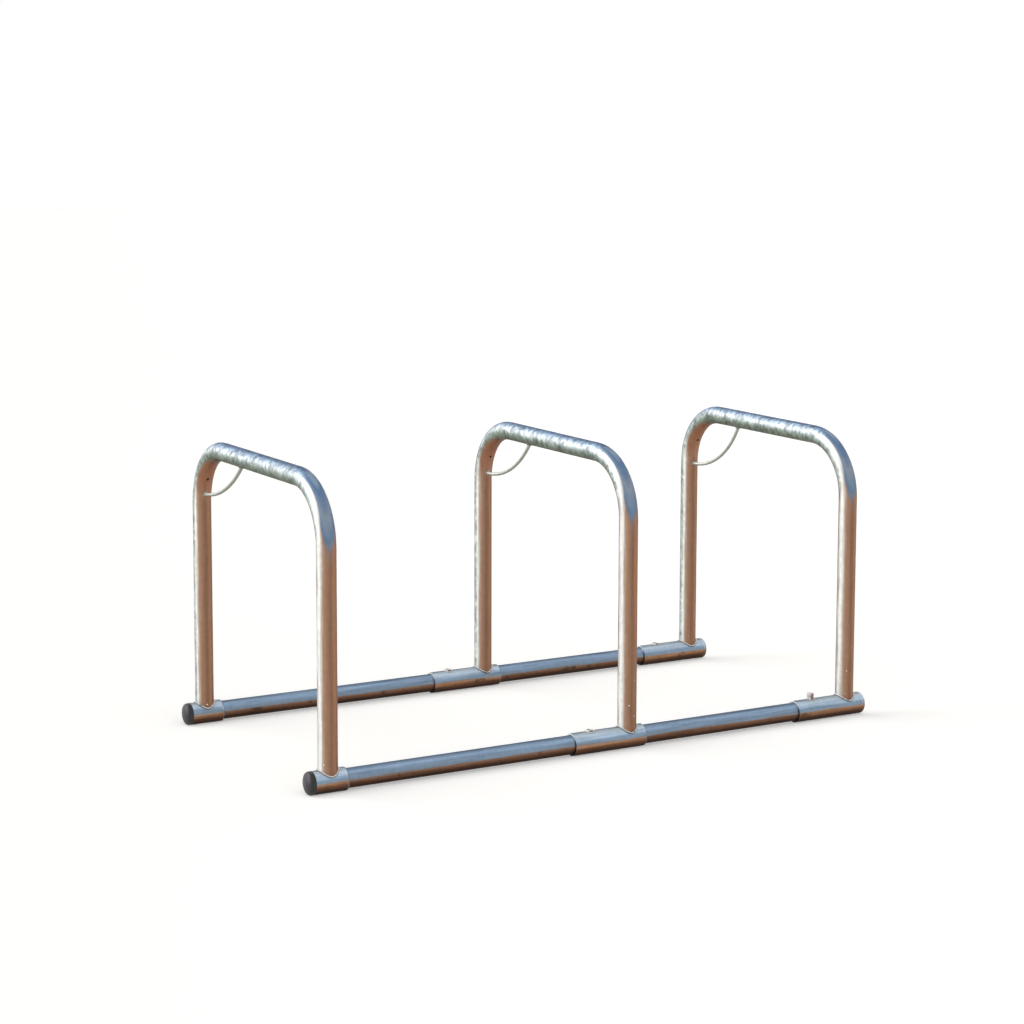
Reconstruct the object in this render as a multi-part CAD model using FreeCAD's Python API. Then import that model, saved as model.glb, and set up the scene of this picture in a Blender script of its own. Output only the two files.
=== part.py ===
import FreeCAD, Part
import math
import os
from FreeCAD import Vector

os.makedirs("parts", exist_ok=True)

# ------------------------------------------------------------------------------------------
# Modular floor bike rack: three bent-tube hoops on two telescoping base rails.
# Millimetres.  X runs along the rails, Y across them (front is -Y), Z up, floor at Z = 0.
# The origin is the middle of the rack's footprint, on the floor.
# ------------------------------------------------------------------------------------------

# Driving dimensions
HOOP_WIDTH = 795.0           # leg centre to leg centre
HOOP_RISE = 750.0            # rail centre line to top bar centre line
HOOP_BEND_RADIUS = 160.0     # on the tube's centre line
HOOP_TUBE_DIA = 51.0
HOOP_TUBE_WALL = 2.6
BAY_PITCHES = (884.0, 724.0)  # hoop 1 to hoop 2, hoop 2 to hoop 3

SLEEVE_DIA = 60.3
SLEEVE_WALL = 3.6
SLEEVE_SHORT_SIDE = 44.0     # leg centre to the end that carries a welded tube, a plug or a cap
SLEEVE_SOCKET_SIDE = 175.0   # leg centre to the mouth that takes the next tube

RAIL_TUBE_DIA = 51.0
RAIL_TUBE_WALL = 2.6
RAIL_TUBE_START = 8.0        # where a rail tube begins inside its own sleeve, past the leg centre
SOCKET_STOP = 60.0           # leg centre back to the end of the tube that sits in the socket

VENT_HOLE_DIA = 8.0          # zinc vent on the inside of the back bend
VENT_HOLE_ANGLE = 31.7       # degrees up the bend from the leg
LEG_VENT_DIA = 16.0          # zinc vent from each sleeve up into its leg

LOCK_ROD_DIA = 10.0
LOCK_ROD_BAR_REACH = (277.0, 271.0, 258.0)  # leg centre to the rod's end on the top bar
LOCK_ROD_LEG_DROP = (133.5, 139.5, 163.5)   # top bar centre to the rod's end on the leg
LOCK_ROD_RADIUS = (400.0, 310.0, 265.0)     # the rods are bent and set by hand, hoop by hoop

SADDLE_WELD_LEG = 6.0
RING_WELD_LENGTH = 9.0
ROD_WELD_LENGTH = 8.0        # how far a bead reaches along the rod
ROD_WELD_ROOT_RADIUS = 13.0
ROD_WELD_TOE_RADIUS = 5.6

PLUG_HEAD_LENGTH = 20.0      # domed plastic plug, part that stays outside the sleeve
PLUG_EDGE_RADIUS = 10.0
PLUG_DOME_RADIUS = 60.0
PLUG_SHANK_LENGTH = 28.0
PLUG_SHANK_DIA = 49.0
PLUG_WALL = 2.5
PLUG_RIB_COUNT = 3
PLUG_RIB_WIDTH = 1.6
PLUG_RIB_PITCH = 8.0
PLUG_RIB_CLEARANCE = 0.05

STEEL_CAP_LENGTH = 10.0      # pressed steel cap on the last hoop's sleeves
STEEL_CAP_WALL = 3.0
STEEL_CAP_EDGE_RADIUS = 5.0
CAP_WELD_DEPTH = 2.0

CLAMP_FROM_MOUTH = 57.0      # socket mouth to clamp screw
SCREW_DIA = 12.0
SCREW_BORE_DIA = 12.1
SCREW_TIP_GAP = 0.3          # screw tip to the tube below it
HEX_ACROSS_FLATS = 19.0
TALL_NUT_HEIGHT = 8.0
THIN_NUT_HEIGHT = 4.0
BOLT_HEAD_HEIGHT = 7.5
BOLT_HEAD_GAP = 1.5          # head underside to nut top
SET_SCREW_DROP = 0.6         # set screw top below the thin nut's top
HEX_KEY_SIZE = 6.0
HEX_KEY_DEPTH = 5.0
NUT_WELD_RADIUS = 13.0
NUT_WELD_HEIGHT = 3.0

# Worked out from the driving dimensions
RAIL_Z = SLEEVE_DIA / 2
TOP_Z = RAIL_Z + HOOP_RISE
HALF_WIDTH = HOOP_WIDTH / 2
SLEEVE_BORE = SLEEVE_DIA - 2 * SLEEVE_WALL
CROWN_Z = RAIL_Z + SLEEVE_DIA / 2

RACK_SPAN = sum(BAY_PITCHES)
LEFT_REACH = SLEEVE_SHORT_SIDE + PLUG_HEAD_LENGTH
RIGHT_REACH = SLEEVE_SHORT_SIDE + STEEL_CAP_LENGTH
FIRST_HOOP_X = (LEFT_REACH - RIGHT_REACH - RACK_SPAN) / 2
HOOP_X = (FIRST_HOOP_X, FIRST_HOOP_X + BAY_PITCHES[0], FIRST_HOOP_X + RACK_SPAN)

SIDES = {"front": -HALF_WIDTH, "back": HALF_WIDTH}
ALONG_X = Vector(1, 0, 0)
UP = Vector(0, 0, 1)


# ------------------------------------------------------------------------------------------
# Basic shapes
# ------------------------------------------------------------------------------------------

def rod_x(x0, x1, y, diameter):
    """Solid round bar along X at rail height."""
    return Part.makeCylinder(diameter / 2, x1 - x0, Vector(x0, y, RAIL_Z), ALONG_X)


def pipe_x(x0, x1, y, diameter, wall):
    """Round tube along X at rail height."""
    return rod_x(x0, x1, y, diameter).cut(rod_x(x0, x1, y, diameter - 2 * wall))


def turned_x(points, x0, y, direction=1):
    """Solid of revolution about a rail's centre line; points are (along, radius, arc) in order.
    An arc entry is the bulge point that the edge to the next point passes through."""
    def place(along, radius):
        return Vector(x0 + direction * along, y, RAIL_Z + radius)
    edges = []
    for (here, following) in zip(points, points[1:] + points[:1]):
        start = place(here[0], here[1])
        end = place(following[0], following[1])
        if len(here) > 2:
            middle = place(here[2][0], here[2][1])
            edges.append(Part.Arc(start, middle, end).toShape())
        else:
            edges.append(Part.makeLine(start, end))
    face = Part.Face(Part.Wire(edges))
    return face.revolve(Vector(x0, y, RAIL_Z), ALONG_X, 360)


def hexagon_prism(x, y, z, across_flats, height):
    """Upright hexagonal prism."""
    corner = across_flats / math.sqrt(3)
    ring = [Vector(x + corner * math.cos(math.radians(60 * i)),
                   y + corner * math.sin(math.radians(60 * i)), z) for i in range(7)]
    return Part.Face(Part.makePolygon(ring)).extrude(Vector(0, 0, height))


def save(name, shape):
    """Write one node."""
    shape.exportStep("parts/%s.step" % name)


# ------------------------------------------------------------------------------------------
# Hoop: one tube, bent twice, its feet coped to sit on the sleeves
# ------------------------------------------------------------------------------------------

def hoop_path(x):
    """Centre line of the hoop, foot to foot."""
    radius = HOOP_BEND_RADIUS
    diagonal = radius * math.sqrt(0.5)
    front = -HALF_WIDTH
    back = HALF_WIDTH
    front_low = Vector(x, front, RAIL_Z)
    front_bend = Vector(x, front, TOP_Z - radius)
    bar_front = Vector(x, front + radius, TOP_Z)
    bar_back = Vector(x, back - radius, TOP_Z)
    back_bend = Vector(x, back, TOP_Z - radius)
    back_low = Vector(x, back, RAIL_Z)
    front_mid = Vector(x, front + radius - diagonal, TOP_Z - radius + diagonal)
    back_mid = Vector(x, back - radius + diagonal, TOP_Z - radius + diagonal)
    return Part.Wire([
        Part.makeLine(front_low, front_bend),
        Part.Arc(front_bend, front_mid, bar_front).toShape(),
        Part.makeLine(bar_front, bar_back),
        Part.Arc(bar_back, back_mid, back_bend).toShape(),
        Part.makeLine(back_bend, back_low)])


def hoop_rod(x, diameter):
    """The hoop as a solid bar of the given diameter."""
    circle = Part.Wire(Part.makeCircle(diameter / 2, Vector(x, -HALF_WIDTH, RAIL_Z), UP))
    return hoop_path(x).makePipeShell([circle], True, False)


def foot_clearance(x):
    """The two sleeves as solid bars, long enough to cope a leg."""
    reach = SLEEVE_SHORT_SIDE
    bars = [rod_x(x - reach, x + reach, y, SLEEVE_DIA) for y in SIDES.values()]
    return bars[0].fuse(bars[1])


def vent_hole(x):
    """Drill through the inner wall of the back bend."""
    angle = math.radians(VENT_HOLE_ANGLE)
    outwards = Vector(0, math.cos(angle), math.sin(angle))
    bend_centre = Vector(x, HALF_WIDTH - HOOP_BEND_RADIUS, TOP_Z - HOOP_BEND_RADIUS)
    inner_wall = HOOP_BEND_RADIUS - HOOP_TUBE_DIA / 2
    length = 3 * HOOP_TUBE_WALL
    start = bend_centre + outwards * (inner_wall - HOOP_TUBE_WALL)
    return Part.makeCylinder(VENT_HOLE_DIA / 2, length, start, outwards)


def hoop_tube(x):
    outside = hoop_rod(x, HOOP_TUBE_DIA)
    bore = hoop_rod(x, HOOP_TUBE_DIA - 2 * HOOP_TUBE_WALL)
    return outside.cut(bore).cut(foot_clearance(x)).cut(vent_hole(x))


# ------------------------------------------------------------------------------------------
# Locking rod in the back top corner of the hoop, and its two welds
# ------------------------------------------------------------------------------------------

def lock_rod_geometry(x):
    """Ends of the rod's centre line, and the centre and radius of its bend."""
    row = HOOP_X.index(x)
    bar_end = Vector(x, HALF_WIDTH - LOCK_ROD_BAR_REACH[row], TOP_Z - HOOP_TUBE_DIA / 2)
    leg_end = Vector(x, HALF_WIDTH - HOOP_TUBE_DIA / 2, TOP_Z - LOCK_ROD_LEG_DROP[row])
    radius = LOCK_ROD_RADIUS[row]
    chord = leg_end - bar_end
    half = chord.Length / 2
    to_corner = Vector(0, -chord.z, chord.y).normalize()
    middle = (bar_end + leg_end) * 0.5
    centre = middle + to_corner * math.sqrt(radius ** 2 - half ** 2)
    return bar_end, leg_end, centre, radius


def bent_rod(x):
    """Bent round bar, its ends still running on into the hoop's tube."""
    bar_end, leg_end, centre, radius = lock_rod_geometry(x)
    overrun = math.degrees(HOOP_TUBE_DIA / 2 / radius)
    start_spoke = bar_end - centre
    end_spoke = leg_end - centre
    sweep = math.degrees(start_spoke.getAngle(end_spoke)) + 2 * overrun
    turn = 1 if start_spoke.cross(end_spoke).x > 0 else -1
    axis = Vector(turn, 0, 0)
    start_spoke = FreeCAD.Rotation(axis, -overrun).multVec(start_spoke)
    section = Part.makeCircle(LOCK_ROD_DIA / 2, centre + start_spoke, axis.cross(start_spoke))
    return Part.Face(Part.Wire(section)).revolve(centre, axis, sweep)


def lock_rod(x):
    """The bent bar, its ends coped to the hoop's tube."""
    return bent_rod(x).cut(hoop_rod(x, HOOP_TUBE_DIA))


def lock_rod_welds(x):
    """A conical bead round each end of the rod."""
    bar_end, leg_end, centre, radius = lock_rod_geometry(x)
    beads = []
    for end, other_end in ((bar_end, leg_end), (leg_end, bar_end)):
        spoke = (end - centre).normalize()
        chord = (other_end - end).normalize()
        tangent = (chord - spoke * chord.dot(spoke)).normalize()
        bead = Part.makeCone(ROD_WELD_ROOT_RADIUS, ROD_WELD_TOE_RADIUS, 2 * ROD_WELD_LENGTH,
                             end - tangent * ROD_WELD_LENGTH, tangent)
        beads.append(bead.cut(bent_rod(x)).cut(hoop_rod(x, HOOP_TUBE_DIA)))
    return Part.Compound(beads)


# ------------------------------------------------------------------------------------------
# Foot sleeves, and the weld where each leg stands on its sleeve
# ------------------------------------------------------------------------------------------

def sleeve(x, y, socket, clamped_at=None):
    """Thick-walled sleeve under a leg; the last hoops' sleeves have a long socket side."""
    left = x - (SLEEVE_SOCKET_SIDE if socket else SLEEVE_SHORT_SIDE)
    right = x + SLEEVE_SHORT_SIDE
    body = pipe_x(left, right, y, SLEEVE_DIA, SLEEVE_WALL)
    leg_vent = Part.makeCylinder(LEG_VENT_DIA / 2, SLEEVE_DIA, Vector(x, y, RAIL_Z), UP)
    body = body.cut(leg_vent)
    if clamped_at is not None:
        hole = Part.makeCylinder(SCREW_BORE_DIA / 2, SLEEVE_DIA, Vector(clamped_at, y, RAIL_Z), UP)
        body = body.cut(hole)
    return body


def saddle_weld(x, y):
    """Fillet weld along the curve where leg and sleeve meet."""
    leg = Part.makeCylinder(HOOP_TUBE_DIA / 2, SLEEVE_DIA, Vector(x, y, RAIL_Z), UP)
    bar = rod_x(x - SLEEVE_SHORT_SIDE, x + SLEEVE_SHORT_SIDE, y, SLEEVE_DIA)
    joined = leg.fuse(bar)
    seam = []
    for edge in joined.Edges:
        box = edge.BoundBox
        crosses_crown = box.ZMax > CROWN_Z - 1 and box.ZMax < CROWN_Z + 1
        if crosses_crown and box.XLength > HOOP_TUBE_DIA / 3 and box.YLength > HOOP_TUBE_DIA / 3:
            seam.append(edge)
    welded = joined.makeChamfer(SADDLE_WELD_LEG, seam)
    return welded.cut(leg).cut(bar)


# ------------------------------------------------------------------------------------------
# Rail tubes and the ring weld at the sleeve they belong to
# ------------------------------------------------------------------------------------------

def rail_tube(hoop_x, next_hoop_x, y):
    return pipe_x(hoop_x + RAIL_TUBE_START, next_hoop_x - SOCKET_STOP, y,
                  RAIL_TUBE_DIA, RAIL_TUBE_WALL)


def ring_weld(x, y):
    """Convex fillet bead between the sleeve's end and the rail tube that leaves it."""
    mouth = x + SLEEVE_SHORT_SIDE
    low = RAIL_TUBE_DIA / 2
    high = SLEEVE_DIA / 2 - 0.5
    bulge = (RING_WELD_LENGTH * 0.55, low + (high - low) * 0.62)
    return turned_x([(0, low), (0, high, bulge), (RING_WELD_LENGTH, low)], mouth, y)


# ------------------------------------------------------------------------------------------
# Closures: moulded plug at the first hoop, pressed steel cap at the last
# ------------------------------------------------------------------------------------------

def plug(x, y):
    """Domed plastic plug: hollow head, hollow shank with grip ribs."""
    mouth = x - SLEEVE_SHORT_SIDE
    head = rod_x(mouth - PLUG_HEAD_LENGTH, mouth, y, SLEEVE_DIA)
    dome_centre = Vector(mouth - PLUG_HEAD_LENGTH + PLUG_DOME_RADIUS, y, RAIL_Z)
    head = head.common(Part.makeSphere(PLUG_DOME_RADIUS, dome_centre))
    rim = [e for e in head.Edges if e.Closed and e.BoundBox.XMax < mouth - 1]
    head = head.makeFillet(PLUG_EDGE_RADIUS, rim)
    shank = rod_x(mouth, mouth + PLUG_SHANK_LENGTH, y, PLUG_SHANK_DIA)
    body = head.fuse(shank)
    rib_dia = SLEEVE_BORE - 2 * PLUG_RIB_CLEARANCE
    for i in range(PLUG_RIB_COUNT):
        rib_x = mouth + PLUG_RIB_PITCH * (i + 0.5)
        body = body.fuse(rod_x(rib_x, rib_x + PLUG_RIB_WIDTH, y, rib_dia))
    hollow_dia = PLUG_SHANK_DIA - 2 * PLUG_WALL
    hollow = rod_x(mouth - PLUG_HEAD_LENGTH / 2, mouth + PLUG_SHANK_LENGTH, y, hollow_dia)
    return body.cut(hollow).removeSplitter()


def steel_cap(x, y):
    """Pressed cap, butt-welded to the sleeve's end."""
    start = x + SLEEVE_SHORT_SIDE
    end = start + STEEL_CAP_LENGTH
    outside = rod_x(start, end, y, SLEEVE_DIA)
    far_rim = [e for e in outside.Edges if e.Closed and e.BoundBox.XMin > end - 1]
    outside = outside.makeFillet(STEEL_CAP_EDGE_RADIUS, far_rim)
    inside = rod_x(start, end - STEEL_CAP_WALL, y, SLEEVE_BORE)
    return outside.cut(inside).cut(cap_weld(x, y))


def cap_weld(x, y):
    """Flush V-groove bead between sleeve and cap, on the cap's side of the joint."""
    start = x + SLEEVE_SHORT_SIDE
    high = SLEEVE_DIA / 2
    low = high - CAP_WELD_DEPTH
    return turned_x([(0, low), (0, high), (CAP_WELD_DEPTH, high)], start, y)


# ------------------------------------------------------------------------------------------
# Clamp screws: one through the top of each socket, in a nut welded to the sleeve
# ------------------------------------------------------------------------------------------

def clamp_x(hoop_x):
    return hoop_x - SLEEVE_SOCKET_SIDE + CLAMP_FROM_MOUTH


def weld_nut(x, y, height):
    """Hexagon nut with its underside shaped to the sleeve."""
    bottom = CROWN_Z - NUT_WELD_HEIGHT
    body = hexagon_prism(x, y, bottom, HEX_ACROSS_FLATS, height + NUT_WELD_HEIGHT)
    chamfer = Part.makeCone(HEX_ACROSS_FLATS / math.sqrt(3) + height + NUT_WELD_HEIGHT,
                            HEX_ACROSS_FLATS / 2, height + NUT_WELD_HEIGHT,
                            Vector(x, y, bottom), UP)
    bore = Part.makeCylinder(SCREW_BORE_DIA / 2, height + 2 * NUT_WELD_HEIGHT,
                             Vector(x, y, bottom), UP)
    seat = rod_x(x - SLEEVE_DIA, x + SLEEVE_DIA, y, SLEEVE_DIA)
    return body.common(chamfer).cut(bore).cut(seat)


def nut_weld(x, y, nut):
    """Bead round the nut's foot."""
    bottom = CROWN_Z - 2 * NUT_WELD_HEIGHT
    cone = Part.makeCone(NUT_WELD_RADIUS + NUT_WELD_HEIGHT, NUT_WELD_RADIUS - NUT_WELD_HEIGHT,
                         3 * NUT_WELD_HEIGHT, Vector(x, y, bottom), UP)
    bore = Part.makeCylinder(SCREW_BORE_DIA / 2, 4 * NUT_WELD_HEIGHT, Vector(x, y, bottom), UP)
    seat = rod_x(x - SLEEVE_DIA, x + SLEEVE_DIA, y, SLEEVE_DIA)
    return cone.cut(bore).cut(seat).cut(nut)


def screw_shank(x, y, top):
    """Plain stand-in for the threaded shank, with a chamfered tip."""
    tip = RAIL_Z + RAIL_TUBE_DIA / 2 + SCREW_TIP_GAP
    shank = Part.makeCylinder(SCREW_DIA / 2, top - tip, Vector(x, y, tip), UP)
    tip_rim = [e for e in shank.Edges if e.Closed and e.BoundBox.ZMax < tip + 0.1]
    return shank.makeChamfer(1.2, tip_rim)


def hex_bolt(x, y):
    """Hexagon-head clamp bolt."""
    seat = CROWN_Z + TALL_NUT_HEIGHT + BOLT_HEAD_GAP
    head = hexagon_prism(x, y, seat, HEX_ACROSS_FLATS, BOLT_HEAD_HEIGHT)
    crown = Part.makeCone(HEX_ACROSS_FLATS / math.sqrt(3) + BOLT_HEAD_HEIGHT,
                          HEX_ACROSS_FLATS / 2, BOLT_HEAD_HEIGHT, Vector(x, y, seat), UP)
    return head.common(crown).fuse(screw_shank(x, y, seat))


def set_screw(x, y):
    """Headless clamp screw with a hexagon socket."""
    top = CROWN_Z + THIN_NUT_HEIGHT - SET_SCREW_DROP
    shank = screw_shank(x, y, top)
    key = hexagon_prism(x, y, top - HEX_KEY_DEPTH, HEX_KEY_SIZE, 2 * HEX_KEY_DEPTH)
    return shank.cut(key)


# ------------------------------------------------------------------------------------------
# The rack
# ------------------------------------------------------------------------------------------

BOLTED_SOCKETS = {(3, "front")}      # this socket's clamp is a hexagon bolt in a full nut

for number, x in enumerate(HOOP_X, start=1):
    hoop = "hoop_%d" % number
    has_socket = number > 1
    save(hoop + "_tube", hoop_tube(x))
    save(hoop + "_lock_rod", lock_rod(x))
    save(hoop + "_lock_rod_welds", lock_rod_welds(x))
    save(hoop + "_leg_welds", Part.Compound([saddle_weld(x, y) for y in SIDES.values()]))

    for side, y in SIDES.items():
        place = "%s_%s" % (hoop, side)
        save(place + "_sleeve", sleeve(x, y, has_socket, clamp_x(x) if has_socket else None))
        if number == 1:
            save(place + "_end_plug", plug(x, y))
        if number == len(HOOP_X):
            save(place + "_end_cap", steel_cap(x, y))
        if has_socket:
            bolted = (number, side) in BOLTED_SOCKETS
            nut = weld_nut(clamp_x(x), y, TALL_NUT_HEIGHT if bolted else THIN_NUT_HEIGHT)
            screw = hex_bolt(clamp_x(x), y) if bolted else set_screw(clamp_x(x), y)
            save(place + "_clamp_nut", nut)
            save(place + "_clamp_nut_weld", nut_weld(clamp_x(x), y, nut))
            save(place + "_clamp_screw", screw)

save("hoop_3_cap_welds", Part.Compound([cap_weld(HOOP_X[-1], y) for y in SIDES.values()]))

for bay, (x, next_x) in enumerate(zip(HOOP_X, HOOP_X[1:]), start=1):
    for side, y in SIDES.items():
        save("bay_%d_%s_rail" % (bay, side), rail_tube(x, next_x, y))
    save("bay_%d_rail_welds" % bay, Part.Compound([ring_weld(x, y) for y in SIDES.values()]))
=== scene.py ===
import math
import bpy
from mathutils import Matrix, Vector


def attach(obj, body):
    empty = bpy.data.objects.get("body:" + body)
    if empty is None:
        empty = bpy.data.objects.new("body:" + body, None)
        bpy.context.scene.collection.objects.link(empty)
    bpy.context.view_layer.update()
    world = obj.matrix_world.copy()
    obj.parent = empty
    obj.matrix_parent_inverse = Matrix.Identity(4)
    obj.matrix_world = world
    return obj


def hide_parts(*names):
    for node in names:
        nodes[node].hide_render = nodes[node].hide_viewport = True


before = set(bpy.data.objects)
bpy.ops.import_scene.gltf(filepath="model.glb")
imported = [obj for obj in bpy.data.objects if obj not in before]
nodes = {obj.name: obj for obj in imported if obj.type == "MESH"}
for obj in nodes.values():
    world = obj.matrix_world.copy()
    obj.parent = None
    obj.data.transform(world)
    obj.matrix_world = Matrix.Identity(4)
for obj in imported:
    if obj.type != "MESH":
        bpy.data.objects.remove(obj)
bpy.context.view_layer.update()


# ---------------------------------------------------------------------------------------------
# Floor, backdrop and studio light.
# A pale, matt floor under a white surround.  Two broad, far-off lamps stand to the left, one
# high and one low, so that the round tubes carry a soft pale band down their left side.
# ---------------------------------------------------------------------------------------------

def linear(hex_colour):
    """An sRGB hex colour as linear red, green, blue and alpha."""
    channels = [int(hex_colour[i:i + 2], 16) / 255 for i in (1, 3, 5)]
    return tuple(c / 12.92 if c <= 0.04045 else ((c + 0.055) / 1.055) ** 2.4
                 for c in channels) + (1.0,)


def add(tree, kind, inputs=None, **settings):
    """A new node with its settings; an input is a value or another node's output socket."""
    node = tree.nodes.new(kind)
    for key, value in settings.items():
        setattr(node, key, value)
    for key, value in (inputs or {}).items():
        if isinstance(value, bpy.types.NodeSocket):
            tree.links.new(value, node.inputs[key])
        else:
            node.inputs[key].default_value = value
    return node


FLOOR_COLOUR = "#F2F1EE"
FLOOR_SIZE = 60.0
SURROUND_LIGHT = 0.66        # what the surround gives as light; it shows as 1, white
FLOOR_LIFT = 0.30            # what the floor shows on top of the light that falls on it

floor_mesh = bpy.data.meshes.new("studio_floor")
half_floor = FLOOR_SIZE / 2
floor_corners = [(-half_floor, -half_floor, 0), (half_floor, -half_floor, 0),
                 (half_floor, half_floor, 0), (-half_floor, half_floor, 0)]
floor_mesh.from_pydata(floor_corners, [], [(0, 1, 2, 3)])
floor = bpy.data.objects.new("studio_floor", floor_mesh)
bpy.context.scene.collection.objects.link(floor)


def seen_directly(tree):
    """1 where the camera sees it, directly, mirrored or through glass; 0 where it gives light."""
    path = add(tree, "ShaderNodeLightPath")
    mirrored = add(tree, "ShaderNodeMath", {0: path.outputs["Is Camera Ray"],
                                            1: path.outputs["Is Glossy Ray"]}, operation="MAXIMUM")
    return add(tree, "ShaderNodeMath", {0: mirrored.outputs[0],
                                        1: path.outputs["Is Transmission Ray"]},
               operation="MAXIMUM").outputs[0]


floor_paint = bpy.data.materials.new("matt_white_floor")
floor_paint.use_nodes = True
tree = floor_paint.node_tree
tree.nodes.clear()
paint = add(tree, "ShaderNodeBsdfDiffuse", {"Color": linear(FLOOR_COLOUR), "Roughness": 1.0})
lift = add(tree, "ShaderNodeEmission", {"Color": linear("#FFFFFF"), "Strength": FLOOR_LIFT})
lifted = add(tree, "ShaderNodeAddShader", {0: paint.outputs[0], 1: lift.outputs[0]})
shown = add(tree, "ShaderNodeMixShader",
            {0: seen_directly(tree), 1: paint.outputs[0], 2: lifted.outputs[0]})
add(tree, "ShaderNodeOutputMaterial", {"Surface": shown.outputs[0]})
floor_mesh.materials.append(floor_paint)

world = bpy.data.worlds.new("studio_surround")
bpy.context.scene.world = world
world.use_nodes = True
tree = world.node_tree
tree.nodes.clear()
strength = add(tree, "ShaderNodeMapRange", {"Value": seen_directly(tree), "To Min": SURROUND_LIGHT,
                                            "To Max": 1.0})
surround = add(tree, "ShaderNodeBackground",
               {"Color": linear("#FFFFFF"), "Strength": strength.outputs[0]})
add(tree, "ShaderNodeOutputWorld", {"Surface": surround.outputs[0]})


def far_lamp(name, towards, spread, power):
    """A lamp too far off to fade across the floor; spread is how many degrees wide it looks."""
    lamp = bpy.data.lights.new(name, "SUN")
    lamp.energy = power
    lamp.angle = math.radians(spread)
    holder = bpy.data.objects.new(name, lamp)
    holder.rotation_euler = Vector(towards).to_track_quat("Z", "Y").to_euler()
    bpy.context.scene.collection.objects.link(holder)


far_lamp("high_left_lamp", towards=(-0.62, 0.50, 0.60), spread=45, power=1.15)
far_lamp("low_left_lamp", towards=(-0.88, 0.42, 0.06), spread=40, power=0.75)


# ---------------------------------------------------------------------------------------------
# Hoops: steel tube bent twice in one plane, then hot-dip galvanised.
# The zinc has weathered, and its colour is painted by facing: a painted highlight where it faces
# the lamps, a painted reflection of the sky, blue-grey, outside the bends, a painted ground
# reflection, warm and dull, down the legs; its crystal spangle shows most on the top bars.
# ---------------------------------------------------------------------------------------------

SPANGLE_SIZE = 0.0080            # metres across one zinc crystal
WANDER_WAVES = 0.6               # waves in the crystals' edges, per crystal
WANDER = 1.1                     # how far those waves reach, in crystals
CRYSTAL_SQUEEZE = 0.72           # less than 1 draws the crystals taller than they are wide
CLOUD_SIZE = 0.05                # patches of duller zinc
GRAIN_SIZE = 0.0016              # roughness of the zinc skin, drawn coarser than it is
ZINC_RELIEF = 0.12
RELIEF_DEPTH = 0.0003            # metres, for the relief of every finish
ZINC_ROUGHNESS = (0.34, 0.60)    # from the darkest crystals to the palest
EDGE_TINT = "#B0B0B0"            # the dull film reflects less than clean zinc at a flat angle
RUN_WIDTH = 0.005                # faint upright runs down the legs, and how long they are
RUN_LENGTH = 0.12
RUN_SHIFT = 0.24                 # how far the runs move the leg's tones round the tube
RUN_SHARE = 0.6                  # of the runs, where they are mixed with the clouds
CLOUD_SHIFT = 0.09               # how far the clouds move the tones of bends and top bars
TUBE_METALLIC = 0.6              # the rest is the dull film on aged zinc
LEG_CONTRAST = 0.16              # of the spangle, down the legs and on the top bar
BAR_CONTRAST = 1.05

LEG_TURN = (0.868, -0.496, 0.0)  # the leg's tones are picked by how far a face turns this way
LEG_SLOPE = (0.02, 0.22)         # slopes between which they give way to the bend's tones
LEG_TO_BEND = 0.60               # heights between which those give way to the top bar's
BEND_TO_BAR = 0.74
BAR_FACING = (0.12, 0.42)        # faces that turn further than this along the bar don't have them
BACK_LEG_FROM = (0.0, 0.2)       # the back legs start here, across the rack
BACK_LEG_SPANGLE = 0.8           # share of the top bar's tones that their sides carry

TONGUE_TURN = 0.35               # the bend's blue ends on the front leg in a tongue, centred here
TONGUE_LIFT = 0.15               # a face in its middle counts as turned up by this much more
TONGUE_NARROWING = 0.45          # how fast that falls to the sides, until it is as much less
TONGUE_HEIGHT = (0.52, 0.66)     # it fades in between these heights
# The painted highlight on the bends falls on faces that turn towards this direction.
BEND_HIGHLIGHT_SIDE = (-0.81, -0.41, 0.42)
HIGHLIGHT_SPREAD = (0.935, 0.99)      # how closely a face has to turn that way to carry the painted highlight

SPECK_PITCH = 0.016              # between specks of weld spatter near the feet
SPECK_EDGE = (0.07, 0.13)        # where a speck ends, as a share of the pitch
SPECK_CHOICE = (0.66, 0.74)      # only the places that draw a higher number have one
SPECK_HEIGHT = (0.10, 0.24)      # they thin out between these heights

# Painted reflections by facing: sky blue-grey on the outside of the bends, ground brown on their
# inside and below.
BEND_PAINTED_REFLECTIONS = ((-1.0, "#7E5540"), (-0.5, "#98694F"), (-0.12, "#A07860"), (0.02, "#9C7C6C"),
                (0.10, "#857F84"), (0.24, "#667F9B"), (0.38, "#7A8DA2"), (0.55, "#8B96A5"),
                (0.74, "#6E84A0"), (0.90, "#5F7C9F"), (1.0, "#8A9DB2"))
# Painted highlight and reflection round a leg: a white band on the side towards the lamps, painted
# ground reflection, brown, elsewhere.
LEG_PAINTED_REFLECTIONS = ((-1.0, "#8F8378"), (-0.93, "#C9C3BA"), (-0.84, "#F1F0EC"), (-0.62, "#F6F4F0"),
               (-0.50, "#DAD2C8"), (-0.38, "#BFAA9A"), (-0.22, "#AC8A74"), (0.0, "#A47C62"),
               (0.22, "#93705B"), (0.42, "#84624E"), (0.58, "#8D6850"), (0.80, "#A0765B"),
               (1.0, "#8A6751"))
# Painted reflections and highlight on the top bar: grey-green below, a pale painted highlight above
# the middle, blue-grey on top.
BAR_PAINTED_REFLECTIONS = ((-1.0, "#5A5E51"), (-0.72, "#6E7467"), (-0.45, "#788275"), (-0.2, "#8B988F"),
               (0.03, "#ACB7B3"), (0.25, "#D0D8DA"), (0.46, "#D9E2EA"), (0.65, "#BCCCDC"),
               (0.83, "#9AAFC4"), (0.95, "#6C85A6"), (1.0, "#54698A"))
# The pale of the painted highlight on the bends, and of the weld spatter.
HIGHLIGHT_AND_SPATTER_ZINC = "#F4F3EF"


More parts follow.
